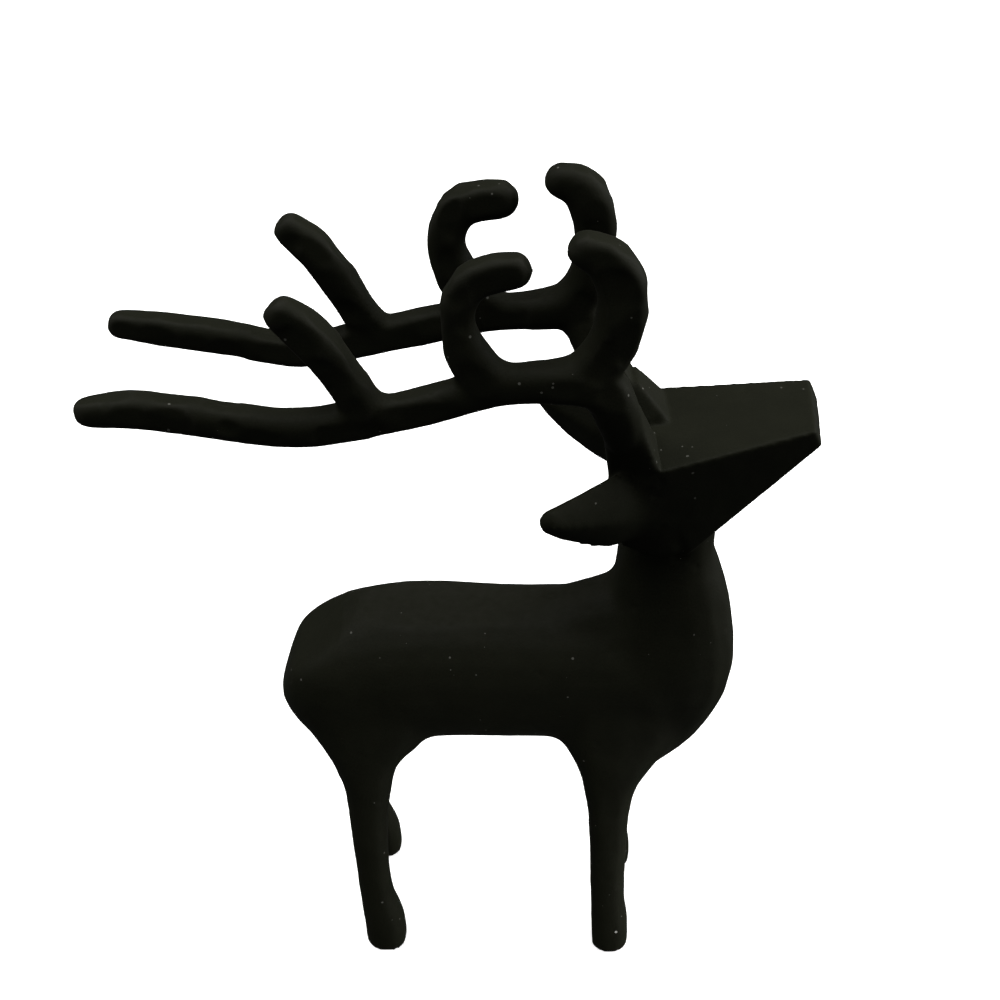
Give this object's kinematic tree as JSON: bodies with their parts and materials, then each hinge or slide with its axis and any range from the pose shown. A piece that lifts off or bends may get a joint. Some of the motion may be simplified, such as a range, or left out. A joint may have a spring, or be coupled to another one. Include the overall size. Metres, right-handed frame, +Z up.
{
  "type": "stag statue",
  "caption": "Cast iron stag standing square on straight legs, wedge head raised, leaf ears, branching antlers swept back over the rump; a tabletop ornament.",
  "frame": {"origin": "middle of the bounding box, on the plane that the four hooves stand on", "axes": "+X towards the muzzle, +Y to the stag's left, +Z up"},
  "size_m": [0.1788, 0.0606, 0.2287],
  "materials": {
    "black_iron": "matte"
  },
  "bodies": {
    "root": {"stag": "black_iron"}
  },
  "joints": []
}
